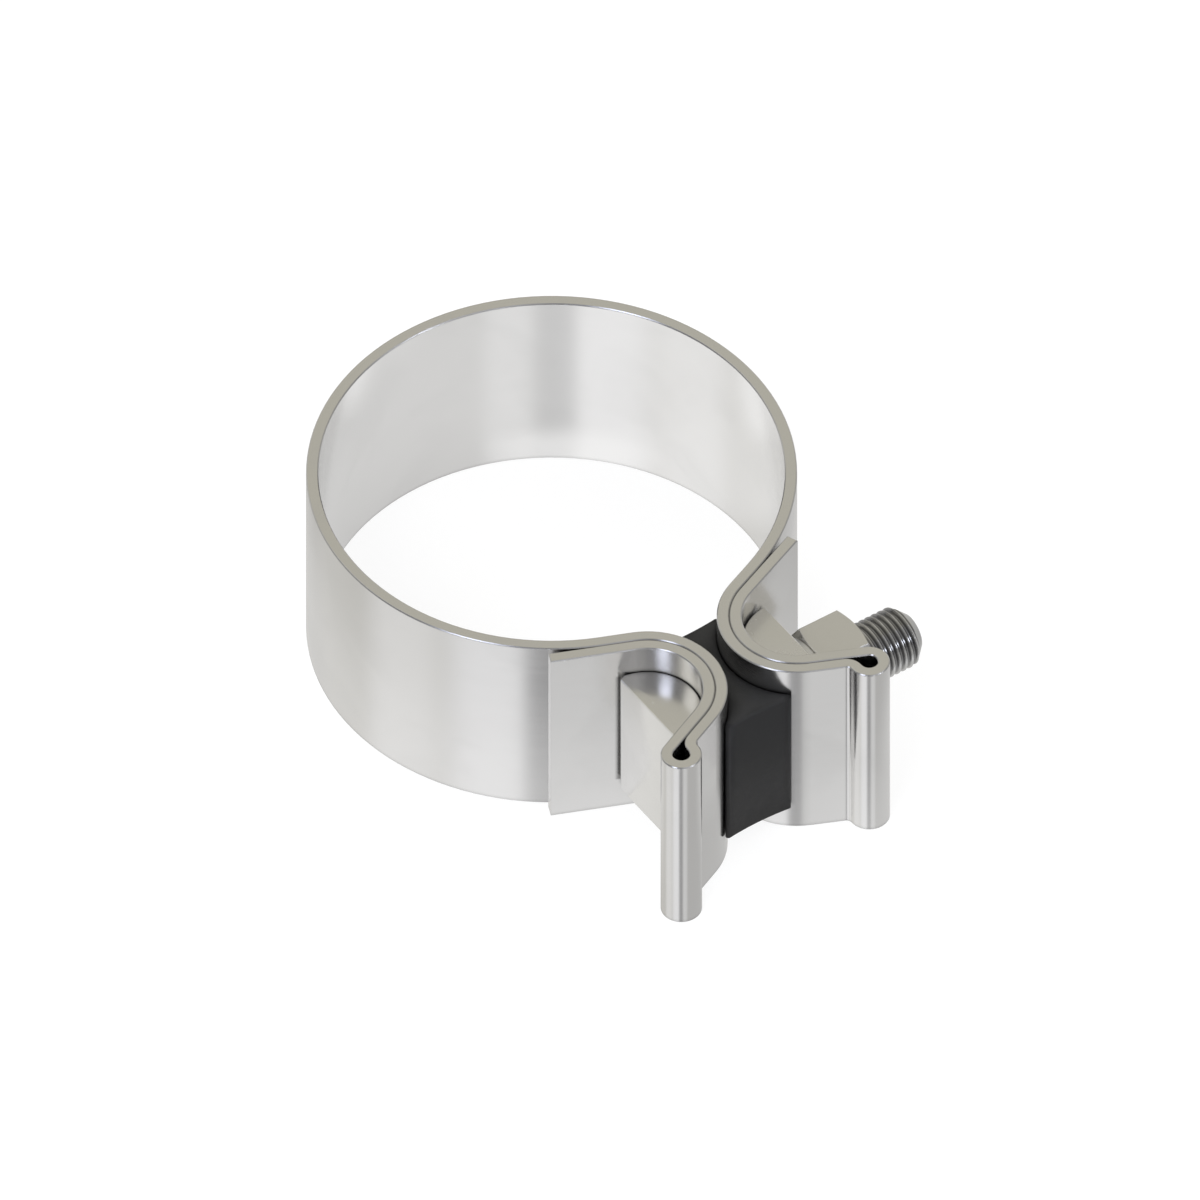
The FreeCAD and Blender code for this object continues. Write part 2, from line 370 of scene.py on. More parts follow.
@dataclass(frozen=True)
class Finish:
    """One surface finish: its colours, how rough it is, its grain and edge wear, and the shade and
    light painted into its colour.

    Attributes:
        name: name of the material.
        colour: colour of the open faces.
        end_colour: colour of the faces that look along the pipe, such as cut faces; on the spacer
            it is painted light on its top and foot; None for the same.
        edge_colour: colour of the corners: polished wear, with painted shade on the strip and a
            painted highlight on the spacer.
        metallic: 1 for bare metal, 0 for a coating.
        roughness: roughness of the open faces.
        end_roughness: roughness of the cut faces; None for the same.
        grain: way in which the fine lines run.
        grain_depth: depth of the fine lines, in metres.
        grain_spread: how much the lines change the roughness.
        edge_radius: radius to which corners look rounded, in metres.
        edge_amount: share of wear and painted edge light on corners.
        marks: share of handling marks.
        specular: strength of a coating's plain reflection.
        crevice_shade_amount: how dark the painted shade in narrow gaps is.
        seat_shadow_amount: how dark the painted shadow lines beside the bars' corners are.
    """

    name: str
    colour: Colour
    edge_colour: Colour
    roughness: float
    grain: Grain
    grain_depth: float
    grain_spread: float
    edge_radius: float
    end_colour: Colour | None = None
    end_roughness: float | None = None
    metallic: float = 1.0
    edge_amount: float = 1.0
    marks: float = 0.4
    specular: float = 0.5
    crevice_shade_amount: float = 1.0
    seat_shadow_amount: float = 0.0

    def build(self, groups: ShaderGroups) -> bpy.types.Material:
        """Make the material.

        Args:
            groups: shared effects.

        Returns:
            The material.
        """
        material = bpy.data.materials.new(self.name)
        canvas = clear_canvas(material)
        surface = canvas.add(
            "ShaderNodeBsdfPrincipled",
            {"Metallic": self.metallic, "Specular IOR Level": self.specular},
        )
        canvas.add("ShaderNodeOutputMaterial", {"Surface": surface.outputs["BSDF"]})
        texture = canvas.add("ShaderNodeTexCoord").outputs
        place = texture["Object"]
        scaled = canvas.add("ShaderNodeMapping", {"Vector": place, "Scale": self.grain.value})
        rise = canvas.compare("DOT_PRODUCT", texture["Normal"], UP)
        is_end = canvas.spread(canvas.math("ABSOLUTE", rise), *END_FACING)

        marks = canvas.group(groups.handling, Vector=place, Amount=self.marks).outputs["Mask"]
        edges = canvas.group(groups.edges, Radius=self.edge_radius, Amount=self.edge_amount)
        # Painted shade in narrow gaps, from how little of the room they see
        gaps = canvas.group(groups.painted_crevice_shade, Reach=CREVICE_SHADE_REACH, Amount=self.crevice_shade_amount)
        seat_shadows = canvas.group(groups.seat_shadows, Vector=place, Amount=self.seat_shadow_amount)

        # End faces take the end colour: cut faces on metal, and painted light on the spacer's top
        # and foot
        faces = canvas.blend(is_end, self.colour, self.end_colour or self.colour)
        dulled = canvas.blend(marks, faces, self._darkened(MARKED_SHARE))
        # Corners: polished wear, with painted shade on the strip and a painted highlight on the
        # spacer
        worn_and_lit = canvas.blend(edges.outputs["Mask"], dulled, self.edge_colour)
        # Painted shade in the gaps and down the thread's roots
        root = canvas.add("ShaderNodeAttribute", attribute_name=ROOT_DEPTH).outputs["Fac"]
        shade = canvas.math("MAXIMUM", gaps.outputs["Mask"], canvas.spread(root, *ROOT_SHADE))
        shaded = canvas.blend(shade, worn_and_lit, self._darkened(CREVICE_SHADE_SHARE))
        # Painted shadow lines beside the bars, kept off the faces that look along the pipe
        upright = canvas.math("SUBTRACT", 1.0, is_end)
        seat_shadowed = canvas.math("MULTIPLY", seat_shadows.outputs["Mask"], upright)
        base = canvas.blend(seat_shadowed, shaded, self._darkened(SEAT_SHADOW_SHARE))
        canvas.put(surface.inputs["Base Color"], base)

        end_roughness = self.end_roughness or self.roughness
        level = canvas.spread(is_end, (0.0, self.roughness), (1.0, end_roughness))
        smeared = canvas.math("MULTIPLY", marks, SMEAR_ROUGHNESS)
        grain = canvas.group(
            groups.grain,
            Vector=scaled.outputs["Vector"],
            Roughness=canvas.math("ADD", level, smeared),
            Spread=self.grain_spread,
        )
        canvas.put(surface.inputs["Roughness"], grain.outputs["Roughness"])

        bump = canvas.add(
            "ShaderNodeBump",
            {
                "Distance": self.grain_depth,
                "Height": grain.outputs["Height"],
                "Normal": edges.outputs["Normal"],
            },
        )
        canvas.put(surface.inputs["Normal"], bump.outputs["Normal"])
        return material

    def _darkened(self, share: float) -> Colour:
        """Darken the finish's own colour, of which this share stays."""
        return tuple(c * share for c in self.colour)


STRIP_FINISH = Finish(
    name="rolled_strip",
    colour=(0.80, 0.795, 0.79),
    end_colour=(0.78, 0.77, 0.745),
    # The darker edge colour paints shade along the strip's chamfers
    edge_colour=(0.70, 0.695, 0.69),
    roughness=0.18,
    end_roughness=0.24,
    grain=Grain.ALONG_STRIP,
    grain_depth=1.6e-6,
    grain_spread=0.03,
    edge_radius=0.00018,
    # Painted shadow lines where the bars' corners meet the strip
    seat_shadow_amount=1.0,
)
BAR_FINISH = Finish(
    name="drawn_bar",
    colour=(0.88, 0.875, 0.865),
    end_colour=(0.78, 0.77, 0.745),
    edge_colour=(0.90, 0.895, 0.885),
    roughness=0.18,
    end_roughness=0.25,
    grain=Grain.DRAWN_UPRIGHT,
    grain_depth=1.2e-6,
    grain_spread=0.03,
    edge_radius=0.00022,
    # Painted shade in the gaps round the bars, and painted shadow lines beside their corners
    crevice_shade_amount=0.6,
    seat_shadow_amount=0.8,
)
THREAD_FINISH = Finish(
    name="rolled_thread",
    colour=(0.60, 0.60, 0.60),
    edge_colour=(0.80, 0.795, 0.79),
    roughness=0.18,
    grain=Grain.TURNED_ON_BOLT,
    grain_depth=6e-6,
    grain_spread=0.18,
    edge_radius=0.00006,
    # The thread's gaps get a little painted shade
    crevice_shade_amount=0.3,
)
WASHER_FINISH = Finish(
    name="turned_washer",
    colour=(0.80, 0.795, 0.785),
    edge_colour=(0.86, 0.855, 0.845),
    roughness=0.38,
    grain=Grain.TURNED_ON_BOLT,
    grain_depth=3e-6,
    grain_spread=0.05,
    edge_radius=0.0002,
    crevice_shade_amount=0.25,
)
NUT_FINISH = Finish(
    name="plated_nut",
    colour=(0.78, 0.77, 0.745),
    edge_colour=(0.87, 0.865, 0.85),
    roughness=0.24,
    grain=Grain.DRAWN_UPRIGHT,
    grain_depth=0.8e-6,
    grain_spread=0.03,
    edge_radius=0.00022,
    crevice_shade_amount=0.2,
)
SPACER_FINISH = Finish(
    name="black_coating",
    colour=(0.0125, 0.0125, 0.013),
    # The lighter end and edge colours paint light on the spacer's top and foot and a highlight
    # along its corners
    end_colour=(0.026, 0.026, 0.0265),
    edge_colour=(0.050, 0.050, 0.051),
    metallic=0.0,
    roughness=0.52,
    grain=Grain.MOULDED,
    grain_depth=10e-6,
    grain_spread=0.06,
    edge_radius=0.0009,
    edge_amount=0.45,
    marks=0.25,
    specular=0.35,
    crevice_shade_amount=0.0,
)
FINISHES = (STRIP_FINISH, BAR_FINISH, THREAD_FINISH, WASHER_FINISH, NUT_FINISH, SPACER_FINISH)


def new_piece(name: str, points: np.ndarray, faces: np.ndarray, smooth: bool) -> bpy.types.Object:
    """Put points and four-cornered faces into a closed mesh object at the origin.

    Points that coincide are joined, and faces that shrink to nothing are dropped.

    Args:
        name: name of the piece.
        points: (n, 3) array of places.
        faces: (m, 4) array of point numbers; a repeated number makes a triangle.
        smooth: whether shading runs smoothly over gentle corners.

    Returns:
        The new object.
    """
    mesh = bpy.data.meshes.new(name)
    mesh.vertices.add(len(points))
    mesh.vertices.foreach_set("co", points.astype(np.float32).ravel())
    mesh.loops.add(faces.size)
    mesh.loops.foreach_set("vertex_index", faces.astype(np.int32).ravel())
    mesh.polygons.add(len(faces))
    mesh.polygons.foreach_set("loop_start", np.arange(0, faces.size, 4, dtype=np.int32))
    mesh.update(calc_edges=True)
    made = bmesh.new()
    made.from_mesh(mesh)
    bmesh.ops.remove_doubles(made, verts=made.verts, dist=JOIN_WITHIN)
    bmesh.ops.dissolve_degenerate(made, edges=made.edges, dist=DROP_WITHIN)
    bmesh.ops.recalc_face_normals(made, faces=made.faces)
    made.to_mesh(mesh)
    made.free()
    return show_mesh(name, mesh, smooth)


def show_mesh(name: str, mesh: bpy.types.Mesh, smooth: bool) -> bpy.types.Object:
    """Put a finished mesh into the scene, at the origin.

    Args:
        name: name of the piece.
        mesh: its mesh.
        smooth: whether shading runs smoothly over gentle corners.

    Returns:
        The new object.
    """
    if smooth:
        mesh.polygons.foreach_set("use_smooth", np.ones(len(mesh.polygons), dtype=bool))
        mesh.set_sharp_from_angle(angle=SMOOTH_ANGLE)
    piece = bpy.data.objects.new(name, mesh)
    bpy.context.scene.collection.objects.link(piece)
    return piece


def grid_faces(rows: int, columns: int, closed: bool) -> np.ndarray:
    """Number the faces of a grid of points.

    Args:
        rows: points along the first way.
        columns: points along the second way.
        closed: whether the last column joins the first.

    Returns:
        (m, 4) array of point numbers, all turning the same way.
    """
    across = columns if closed else columns - 1
    row, column = np.meshgrid(np.arange(rows - 1), np.arange(across), indexing="ij")
    beside = (column + 1) % columns
    return np.stack(
        [
            row * columns + column,
            row * columns + beside,
            (row + 1) * columns + beside,
            (row + 1) * columns + column,
        ],
        axis=-1,
    ).reshape(-1, 4)


# Sizes that the box of the bolt's solid doesn't give: the radii, how far the head's flat lies
# from the axis of its round side, and how far the shank lies off the head's middle
HEAD_RADIUS = 9.35 * MM
HEAD_INSET = 0.3 * MM
SHANK_RADIUS = 5.55 * MM
SHANK_OFFSET = 0.8 * MM
# How far inside the flat the middle of the head's ends lies
LID_MIDDLE = 3 * MM
# Half a pitch of the thread from crest to root: places in pitches, and how much depth is left
THREAD_STOPS = np.array([0.0, 0.045, 0.0975, 0.1875, 0.2875, 0.345, 0.40, 0.5])
THREAD_SHARES = np.array([1.0, 0.99, 0.888, 0.60, 0.28, 0.10, 0.015, 0.0])


@dataclass
class TBolt:
    """T-bolt: a half-round head lying in the left lug, and a threaded shank.

    Attributes:
        head_radius: radius of the head's round side.
        head_half_height: half of the head's height along the pipe.
        head_centre: place of the round side's axis across the bolt.
        head_flat: place of the head's flat along the bolt.
        corner_round: radius of the head's upright corners.
        corner_relief: how far the round side draws in towards those corners.
        rim_round: radius of the head's top and bottom rims.
        radius: outer radius of the thread.
        pitch: length of one turn of the thread.
        axis_y: place of the bolt's axis.
        shank_start: where the shank starts inside the head.
        thread_start: where the thread starts to run in.
        end: where the bolt's tip ends.
        tip_chamfer: length and depth of the tip's cone.
        relief_turn: angle over which the round side draws in.
        run_in: pitches over which the thread reaches its full depth.
        around: points round the thread.
        head_points: points on the head's round side.
        corner_points: points on each of the head's corners.
        rim_points: points on each of the head's rims.
    """

    head_radius: float
    head_half_height: float
    head_centre: tuple[float, float]
    head_flat: float
    radius: float
    axis_y: float
    end: float
    corner_round: float = 0.32 * MM
    corner_relief: float = 0.45 * MM
    rim_round: float = 0.16 * MM
    pitch: float = 1.27 * MM
    shank_start: float = -11.13 * MM
    thread_start: float = 1.0 * MM
    tip_chamfer: float = 2.2 * MM
    relief_turn: float = math.radians(8.0)
    run_in: float = 2.5
    around: int = 72
    head_points: int = 96
    corner_points: int = 8
    rim_points: int = 5

    @classmethod
    def from_solids(cls) -> "TBolt":
        """Read the bolt's sizes off the box of its solid.

        The box gives the head's flat, height and middle and the tip. The sizes above give the
        rest.

        Returns:
            The bolt, with its thread's sizes as it is made.
        """
        low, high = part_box("t_bolt")
        middle = (low.y + high.y) / 2
        return cls(
            head_radius=HEAD_RADIUS,
            head_half_height=high.z,
            head_centre=(low.x - HEAD_INSET, middle),
            head_flat=low.x,
            radius=SHANK_RADIUS,
            axis_y=middle + SHANK_OFFSET,
            end=high.x,
        )

    @property
    def thread_depth(self) -> float:
        """Depth of a unified thread: five eighths of 0.866 pitches."""
        return 0.625 * 0.866 * self.pitch

    def head_outline(self) -> tuple[np.ndarray, np.ndarray]:
        """Trace the head's outline in the XY plane.

        The round side is an arc about the head's centre. Each corner is an arc of corner_round
        that touches the flat and the round side, so its centre lies corner_round from the flat
        and head_radius - corner_relief - corner_round from the head's centre. Over the last
        relief_turn the round side draws in to meet it.

        Returns:
            (n, 2) places and (n, 2) outward normals, turning to the left.
        """
        round_x = self.head_flat + self.corner_round
        reach = self.head_radius - self.corner_relief - self.corner_round
        rise = math.sqrt(reach**2 - (round_x - self.head_centre[0]) ** 2)
        corner_angle = math.atan2(rise, round_x - self.head_centre[0])
        low_turns = np.linspace(-math.pi, -corner_angle, self.corner_points)
        main_turns = np.linspace(-corner_angle, corner_angle, self.head_points)
        high_turns = np.linspace(corner_angle, math.pi, self.corner_points)
        low_arc, main_arc, high_arc = (
            np.stack([np.cos(turns), np.sin(turns)], axis=1)
            for turns in (low_turns, main_turns, high_turns)
        )
        near_corner = np.clip((np.abs(main_turns) - corner_angle) / self.relief_turn + 1, 0, 1)
        drawn_in = self.head_radius - self.corner_relief * near_corner**2
        centre = np.array(self.head_centre)
        low_centre = np.array([round_x, centre[1] - rise])
        high_centre = np.array([round_x, centre[1] + rise])
        places = np.concatenate(
            [
                low_centre + low_arc * self.corner_round,
                centre + (main_arc * drawn_in[:, None])[1:-1],
                high_centre + high_arc * self.corner_round,
            ]
        )
        normals = np.concatenate([low_arc, main_arc[1:-1], high_arc])
        return places, normals

    def make_head(self) -> bpy.types.Object:
        """Raise the outline between two rounded rims.

        At a rim, a point moves inwards by r (1 - cos a) while it rises by r sin a, for a from 0
        to 90 degrees and r the rim's radius. Each end closes in a flat face to its middle.

        Returns:
            The head's object.
        """
        places, normals = self.head_outline()
        turns = np.linspace(0.0, math.pi / 2, self.rim_points)
        inset = self.rim_round * (1 - np.cos(turns))
        level = self.head_half_height - self.rim_round + self.rim_round * np.sin(turns)
        inset = np.concatenate([inset[::-1], inset])
        level = np.concatenate([-level[::-1], level])
        flat = places[None] - normals[None] * inset[:, None, None]
        height = np.broadcast_to(level[:, None, None], (*flat.shape[:2], 1))
        shell = np.concatenate([flat, height], axis=2)
        middle_x = (self.head_flat + self.head_centre[0]) / 2 + LID_MIDDLE
        foot, lid = (
            np.broadcast_to([middle_x, self.head_centre[1], z], (1, shell.shape[1], 3))
            for z in (level[0], level[-1])
        )
        points = np.concatenate([foot, shell, lid])
        faces = grid_faces(points.shape[0], points.shape[1], closed=True)
        return new_piece("bolt_head", points.reshape(-1, 3), faces, smooth=True)

    def thread_radius(self, phase: np.ndarray) -> np.ndarray:
        """Radius over one pitch of a unified thread.

        The crest is flat for an eighth of the pitch, the root for a quarter, and the flanks lean
        30 degrees. Crest and root are eased a little.

        Args:
            phase: place along the bolt in pitches, with crests at whole numbers.

        Returns:
            Radius at each place.
        """
        from_crest = np.abs(phase - np.round(phase))
        left = np.interp(from_crest, THREAD_STOPS, THREAD_SHARES)
        return self.radius - self.thread_depth * (1 - left)

    def make_shank(self) -> bpy.types.Object:
        """Sweep the thread's profile along its helix.

        Grid lines follow the helix: x = start + pitch (j / n + a / 2 pi) and the crest is where
        the first share is whole, so no crest cuts a grid line. The radius is the least of the
        thread, faded in from a plain shank, and the cone of the tip. Past the tip all points lie
        on the end's rim, and a flat face closes it.

        Returns:
            The shank's object.
        """
        one_pitch = np.concatenate([THREAD_STOPS, 1.0 - THREAD_STOPS[-2:0:-1]])
        first = math.floor((self.thread_start - self.shank_start) / self.pitch)
        turns = math.ceil((self.end - self.shank_start) / self.pitch) + 1
        threaded = np.concatenate([one_pitch + k for k in range(first, turns)])
        phase = np.concatenate([np.arange(-1.0, first, 1.0), threaded])
        angle = np.linspace(0.0, 2 * math.pi, self.around, endpoint=False)
        share, turn = np.meshgrid(phase, angle, indexing="ij")
        along = self.shank_start + self.pitch * (share + turn / (2 * math.pi))
        depth_in = np.clip((along - self.thread_start) / (self.run_in * self.pitch), 0.0, 1.0)
        cut = self.thread_radius(share)
        radius = self.radius + (cut - self.radius) * depth_in * depth_in * (3 - 2 * depth_in)
        cone = self.radius - (along - (self.end - self.tip_chamfer))
        tip_radius = self.radius - self.tip_chamfer
        radius = np.minimum(radius, np.maximum(cone, tip_radius))
        along = np.clip(along, self.shank_start, self.end)
        points = self._around_bolt(along, radius, turn)
        foot, lid = (
            self._around_bolt(np.full_like(angle, x), np.zeros_like(angle), angle)
            for x in (self.shank_start, self.end)
        )
        points = np.concatenate([foot[None], points, lid[None]])
        rows, columns = points.shape[:2]
        faces = grid_faces(rows, columns, closed=False)
        seam = self._seam_faces(phase, rows, columns)
        faces = np.concatenate([faces, seam])
        shank = new_piece("bolt_thread", points.reshape(-1, 3), faces, smooth=True)
        self._mark_roots(shank.data)
        return shank

    def _mark_roots(self, mesh: bpy.types.Mesh) -> None:
        """Keep on each point how far it lies down the thread: 0 on the crest, 1 on the root, for
        the painted shade in the roots.

        Args:
            mesh: mesh of the shank.
        """
        places = np.empty(len(mesh.vertices) * 3, dtype=np.float32)
        mesh.vertices.foreach_get("co", places)
        x, y, z = places.reshape(-1, 3).T
        below = self.radius - np.hypot(y - self.axis_y, z)
        depth = np.clip(below / self.thread_depth, 0.0, 1.0)
        on_cone = np.abs(below - (x - self.end + self.tip_chamfer)) < 2 * LEVEL_TOLERANCE
        on_end = x > self.end - LEVEL_TOLERANCE
        depth[on_cone | on_end] = 0.0
        mesh.attributes.new(ROOT_DEPTH, "FLOAT", "POINT").data.foreach_set("value", depth)

    def _around_bolt(self, along: np.ndarray, radius: np.ndarray, turn: np.ndarray) -> np.ndarray:
        """Place points about the bolt's axis: (x, axis_y + r cos a, r sin a)."""
        return np.stack(
            [along, self.axis_y + radius * np.cos(turn), radius * np.sin(turn)], axis=-1
        )

    def _seam_faces(self, phase: np.ndarray, rows: int, columns: int) -> np.ndarray:
        """Close the sweep: after a full turn, each grid line meets the one a pitch further on.

        Args:
            phase: place of each grid line in pitches.
            rows: grid lines with the two lids.
            columns: points on each.

        Returns:
            (m, 4) faces between the last column and the first one a pitch on.
        """
        starts = np.arange(rows) * columns
        ahead = np.searchsorted(phase, phase + 1.0 - 1e-9)
        ahead = np.minimum(ahead, len(phase) - 1) + 1
        firsts = starts[np.concatenate([[0], ahead, [rows - 1]])]
        lasts = starts + columns - 1
        faces = np.stack([lasts[:-1], firsts[:-1], firsts[1:], lasts[1:]], axis=-1)
        return np.concatenate([faces[1:-1], faces[[0, -1]]])

    def build(self, head_finish: bpy.types.Material, thread_finish: bpy.types.Material) -> list:
        """Make, dress and mount both pieces.

        Args:
            head_finish: material of the head.
            thread_finish: material of the shank.

        Returns:
            The two objects.
        """
        head, shank = self.make_head(), self.make_shank()
        for piece, finish in ((head, head_finish), (shank, thread_finish)):
            piece.data.materials.append(finish)
            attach(piece, "clamp")
        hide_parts("t_bolt")
        return [head, shank]


@dataclass(frozen=True)
class Spacer:
    """Black spacer between the lugs, with finer rims than its solid has.

    Attributes:
        chamfer: width of the solid's chamfers at its top and foot.
        kept: share of that width which stays.
    """

    chamfer: float = 0.4 * MM
    kept: float = 0.3

    def build(self, solid: bpy.types.Object, finish: bpy.types.Material) -> bpy.types.Object:
        """Copy the solid's mesh and make its chamfers finer.

        The chamfer's outer line rises by (1 - kept) of its width. Each point of its inner line
        moves by the same share towards the nearest place of the outer one.

        Args:
            solid: the spacer's solid.
            finish: material of the piece.

        Returns:
            The new object.
        """
        made = bmesh.new()
        made.from_mesh(solid.data)
        made.transform(solid.matrix_world)
        bmesh.ops.remove_doubles(made, verts=made.verts, dist=JOIN_WITHIN)
        top = max(v.co.z for v in made.verts)
        for side in (-1.0, 1.0):
            below = {v: top - v.co.z * side for v in made.verts}
            outer = {v for v, gap in below.items() if abs(gap - self.chamfer) < LEVEL_TOLERANCE}
            rim = [e for e in made.edges if outer.issuperset(e.verts)]
            starts = np.array([e.verts[0].co.xy for e in rim])
            steps = np.array([e.verts[1].co.xy for e in rim]) - starts
            for v in (v for v, gap in below.items() if gap < LEVEL_TOLERANCE):
                place = np.array(v.co.xy)
                share = ((place - starts) * steps).sum(axis=1) / (steps**2).sum(axis=1)
                feet = starts + steps * np.clip(share, 0.0, 1.0)[:, None]
                foot = feet[np.argmin(np.hypot(*(place - feet).T))]
                v.co.xy = foot + (place - foot) * self.kept
            for v in outer:
                v.co.z = side * (top - self.chamfer * self.kept)
        mesh = bpy.data.meshes.new("spacer_block")
        made.to_mesh(mesh)
        made.free()
        mesh.materials.append(finish)
        piece = show_mesh("spacer_block", mesh, smooth=True)
        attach(piece, "clamp")
        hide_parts("lug_spacer")
        return piece


@dataclass
class DressedSolids:
    """The solids that keep their own shapes and only get a finish.

    Attributes:
        nodes: every solid's object by its name.
    """

    nodes: dict[str, bpy.types.Object]

    def dress(self, finishes: dict[str, bpy.types.Material]) -> list:
        """Give each solid its material.

        Args:
            finishes: material of each solid by its name.

        Returns:
            The dressed objects.
        """
        dressed = []
        for name, material in finishes.items():
            piece = self.nodes[name]
            piece.data.materials.clear()
            piece.data.materials.append(material)
            dressed.append(piece)
        return dressed


@dataclass
class PhotoCamera:
    """Camera that looks as the photograph does: without perspective, from above and the left.

    Attributes:
        azimuth: degrees round the pipe's axis, where 0 looks along +Y.
        elevation: degrees above the floor.
        pixels_per_mm: scale of the photograph.
        frame_pixels: width and height of the photograph.
        ring_top_pixel: where the middle of the ring's upper rim lies in it.
        distance: how far the camera stands off.
    """

    azimuth: float = -34.4
    elevation: float = 46.07
    pixels_per_mm: float = 5.84
    frame_pixels: float = 1200.0
    ring_top_pixel: tuple[float, float] = (551.57, 471.9)
    distance: float = 0.8

    def place(self, ring_top: Vector) -> None:
        """Make the camera and aim it.

        Args:
            ring_top: middle of the ring's upper rim.
        """
        a = math.radians(self.azimuth)
        right = Vector((math.cos(a), math.sin(a), 0.0))
        back = Vector(towards(self.azimuth, self.elevation))
        up = back.cross(right)
        metre = MM / self.pixels_per_mm
        half = self.frame_pixels / 2
        centre = ring_top + right * ((half - self.ring_top_pixel[0]) * metre)
        centre = centre - up * ((half - self.ring_top_pixel[1]) * metre)
        data = bpy.data.cameras.new("photo_camera")
        data.type = "ORTHO"
        data.ortho_scale = self.frame_pixels * metre
        data.clip_start, data.clip_end = 0.01, 20.0
        camera = bpy.data.objects.new("photo_camera", data)
        bpy.context.scene.collection.objects.link(camera)
        turn = Matrix((right, up, back)).transposed()
        camera.matrix_world = Matrix.Translation(centre + back * self.distance) @ turn.to_4x4()
        bpy.context.scene.camera = camera


@dataclass(frozen=True)
class SoftPatch:
    """Soft patch of light or shade in the room, as metal shows it.

    Attributes:
        azimuth: degrees round the room, as the camera's.
        elevation: degrees above the floor.
        edge: degrees from its middle to where it has faded out.
        core: degrees from its middle to where it starts to fade.
        colour: colour of its middle.
        share: how fully it covers what lies behind it.
    """

    azimuth: float
    elevation: float
    edge: float
    core: float
    colour: Colour
    share: float

    def lay(
        self, canvas: Canvas, way: bpy.types.NodeSocket, room: object, kept: object = 1.0
    ) -> bpy.types.NodeSocket:
        """Lay the patch over the room.

        Args:
            canvas: canvas of the world.
            way: direction in which the room is seen.
            room: colour behind the patch.
            kept: further share of the patch, as a number or an output.

        Returns:
            Colour with the patch.
        """
        middle = towards(self.azimuth, self.elevation)
        nearness = canvas.compare("DOT_PRODUCT", way, middle)
        start = (math.cos(math.radians(self.edge)), 0.0)
        full = (math.cos(math.radians(self.core)), self.share)
        cover = canvas.math("MULTIPLY", canvas.spread(nearness, start, full), kept)
        return canvas.blend(cover, room, self.colour)


ROOM_PATCHES = (
    SoftPatch(145.6, 46.0, 80.0, 35.0, (0.525, 0.51, 0.455), 1.0),
    SoftPatch(-150.0, -46.0, 70.0, 34.0, (0.62, 0.61, 0.58), 1.0),
    SoftPatch(-200.0, -46.0, 26.0, 8.0, (0.53, 0.52, 0.50), 0.9),
    SoftPatch(-108.0, -46.0, 20.0, 5.0, (0.84, 0.835, 0.825), 0.9),
    SoftPatch(-60.0, -46.0, 22.0, 7.0, (0.92, 0.92, 0.93), 0.95),
    SoftPatch(60.0, -46.0, 58.0, 34.0, (0.52, 0.516, 0.508), 1.0),
    SoftPatch(-14.0, -46.0, 12.0, 4.0, (0.72, 0.72, 0.72), 0.95),
    SoftPatch(-36.5, -46.0, 10.0, 3.0, (0.32, 0.32, 0.325), 0.95),
    SoftPatch(20.0, 46.0, 42.0, 20.0, (0.48, 0.48, 0.485), 0.9),
    SoftPatch(-72.0, 46.0, 14.0, 3.0, (1.9, 2.0, 2.4), 1.0),
    SoftPatch(-138.0, 46.0, 22.0, 4.0, (1.05, 1.04, 1.0), 1.0),
)
# Small bright patches, which only a first reflection shows
GLINT_PATCHES = (
    SoftPatch(-42.0, 23.0, 9.0, 1.5, (6.6, 6.9, 7.8), 1.0),
    SoftPatch(-10.0, 24.0, 9.0, 1.5, (6.6, 6.9, 7.8), 1.0),
    SoftPatch(24.0, 26.0, 9.0, 1.5, (6.6, 6.9, 7.8), 1.0),
)


class Ground(Enum):
    """Part of the floor that a pool of light is kept to. BY_FOOT is inside the ring too."""

    INSIDE_RING = 1
    BY_FOOT = 2
    OUTSIDE_RING = 3


@dataclass(frozen=True)
class LightPool:
    """Soft pool of light on the floor, as metal shows it.

    Attributes:
        x: place of its middle along the bolt.
        y: place of its middle across the bolt.
        core: distance from its middle to where it starts to fade.
        reach: distance from its middle to where it has faded out.
        share: how fully it covers the room below the floor.
        ground: part of the floor that it is kept to.
    """

    x: float
    y: float
    core: float
    reach: float
    share: float
    ground: Ground


LIGHT_POOLS = (
    LightPool(6.0 * MM, 12.0 * MM, 8.0 * MM, 66.0 * MM, 0.42, Ground.INSIDE_RING),
    LightPool(30.0 * MM, 12.0 * MM, 8.0 * MM, 26.0 * MM, 0.46, Ground.INSIDE_RING),
    LightPool(24.0 * MM, 27.0 * MM, 3.0 * MM, 26.0 * MM, 0.72, Ground.BY_FOOT),
    LightPool(32.0 * MM, -63.0 * MM, 8.0 * MM, 42.0 * MM, 0.24, Ground.OUTSIDE_RING),
)
# Name, place, width and power in watts of each lamp
LAMPS = (
    ("key_lamp", (-0.55, -0.35, 0.75), 0.42, 5.2),
    ("fill_lamp", (0.60, -0.75, 0.45), 0.50, 3.0),
    ("back_lamp", (0.10, 0.80, 0.70), 0.55, 3.4),
)
# The floor's grey under the lamps, its faint grey and white to the eye, and the pools' glow
FLOOR_GREY = (0.85, 0.85, 0.85, 1.0)
SHADOW_GREY = (0.16, 0.16, 0.16, 1.0)
EYE_WHITE = 0.88
POOL_GLOW = 1.2
# How the light fades away from the ring's foot, where the ground outside the ring begins, and
# how close to the foot BY_FOOT keeps
FOOT_BAND = ((0.0, 0.27), (34.0 * MM, 0.0))
OUTER_GROUND = ((-3.0 * MM, 0.0), (0.0, 1.0))
CLOSE_GROUND = ((5.0 * MM, 1.0), (17.0 * MM, 0.0))
# How the room turns from its lower to its upper colour about the horizon
HORIZON = ((-0.25, 0.0), (0.15, 1.0))


